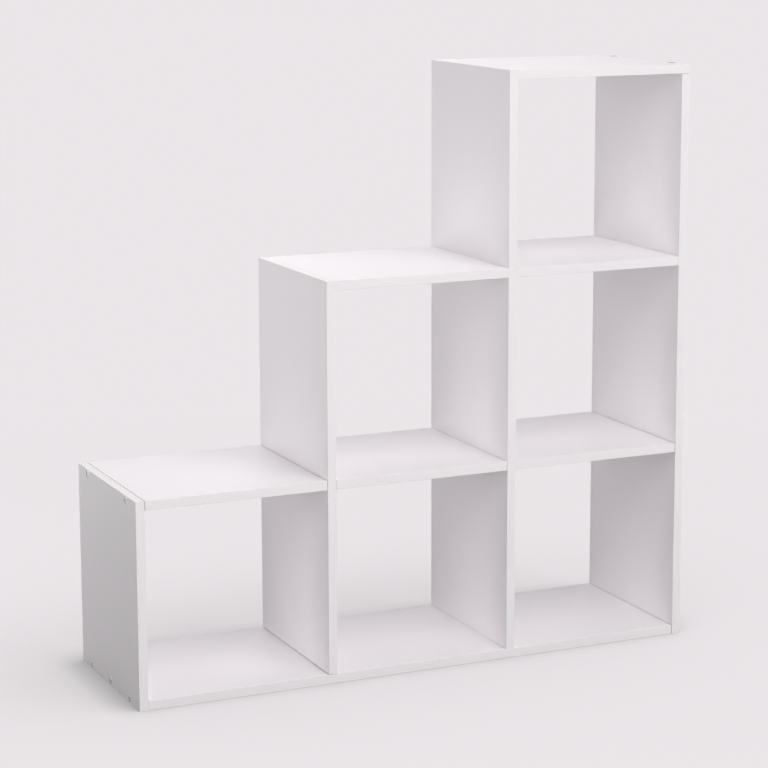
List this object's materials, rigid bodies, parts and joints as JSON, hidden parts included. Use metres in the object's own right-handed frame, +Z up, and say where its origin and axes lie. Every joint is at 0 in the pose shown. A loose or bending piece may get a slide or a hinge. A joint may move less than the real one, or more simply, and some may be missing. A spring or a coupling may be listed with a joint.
{
  "type": "staircase bookshelf",
  "caption": "Open staircase shelving of square cells in stepped columns, built of white melamine board with screws and dowels.",
  "frame": {"origin": "middle of the footprint, on the floor", "axes": "+X to the right seen from the front, towards the tallest column; +Y into the depth, the front faces -Y; +Z up"},
  "size_m": [0.975, 0.29, 0.975],
  "materials": {
    "white_board": "chipboard faced with white melamine paper, satin, with a fine pearl texture",
    "white_edge": "white melamine edge band, satin, smoother than the faces",
    "raw_chipboard": "sawn chipboard on edges that carry no band",
    "zinc_screw": "zinc-plated steel",
    "beech_dowel": "bare beech, fluted"
  },
  "bodies": {
    "root": {"left_side_panel": "white_board", "short_divider": "white_board", "tall_divider": "white_board", "right_side_panel": "white_board", "bottom_board": "white_board", "low_step_board": "white_board", "middle_shelf": "white_board", "middle_step_board": "white_board", "lower_right_shelf": "white_board", "upper_right_shelf": "white_board", "top_board": "white_board", "screw_left_foot_front": "zinc_screw", "screw_left_foot_middle": "zinc_screw", "screw_left_foot_back": "zinc_screw", "screw_right_foot_front": "zinc_screw", "screw_right_foot_middle": "zinc_screw", "screw_right_foot_back": "zinc_screw", "screw_short_divider_front": "zinc_screw", "screw_short_divider_middle": "zinc_screw", "screw_short_divider_back": "zinc_screw", "screw_tall_divider_front": "zinc_screw", "screw_tall_divider_middle": "zinc_screw", "screw_tall_divider_back": "zinc_screw", "screw_low_step_front": "zinc_screw", "screw_low_step_back": "zinc_screw", "screw_lower_right_front": "zinc_screw", "screw_lower_right_back": "zinc_screw", "screw_upper_right_front": "zinc_screw", "screw_upper_right_back": "zinc_screw", "screw_top_front": "zinc_screw", "screw_top_back": "zinc_screw", "dowel_short_divider_low_front": "beech_dowel", "dowel_short_divider_low_middle": "beech_dowel", "dowel_short_divider_low_back": "beech_dowel", "dowel_short_divider_high_front": "beech_dowel", "dowel_short_divider_high_middle": "beech_dowel", "dowel_short_divider_high_back": "beech_dowel", "dowel_tall_divider_low_front": "beech_dowel", "dowel_tall_divider_low_middle": "beech_dowel", "dowel_tall_divider_low_back": "beech_dowel", "dowel_tall_divider_middle_front": "beech_dowel", "dowel_tall_divider_middle_middle": "beech_dowel", "dowel_tall_divider_middle_back": "beech_dowel", "dowel_tall_divider_high_front": "beech_dowel", "dowel_tall_divider_high_middle": "beech_dowel", "dowel_tall_divider_high_back": "beech_dowel"}
  },
  "joints": []
}
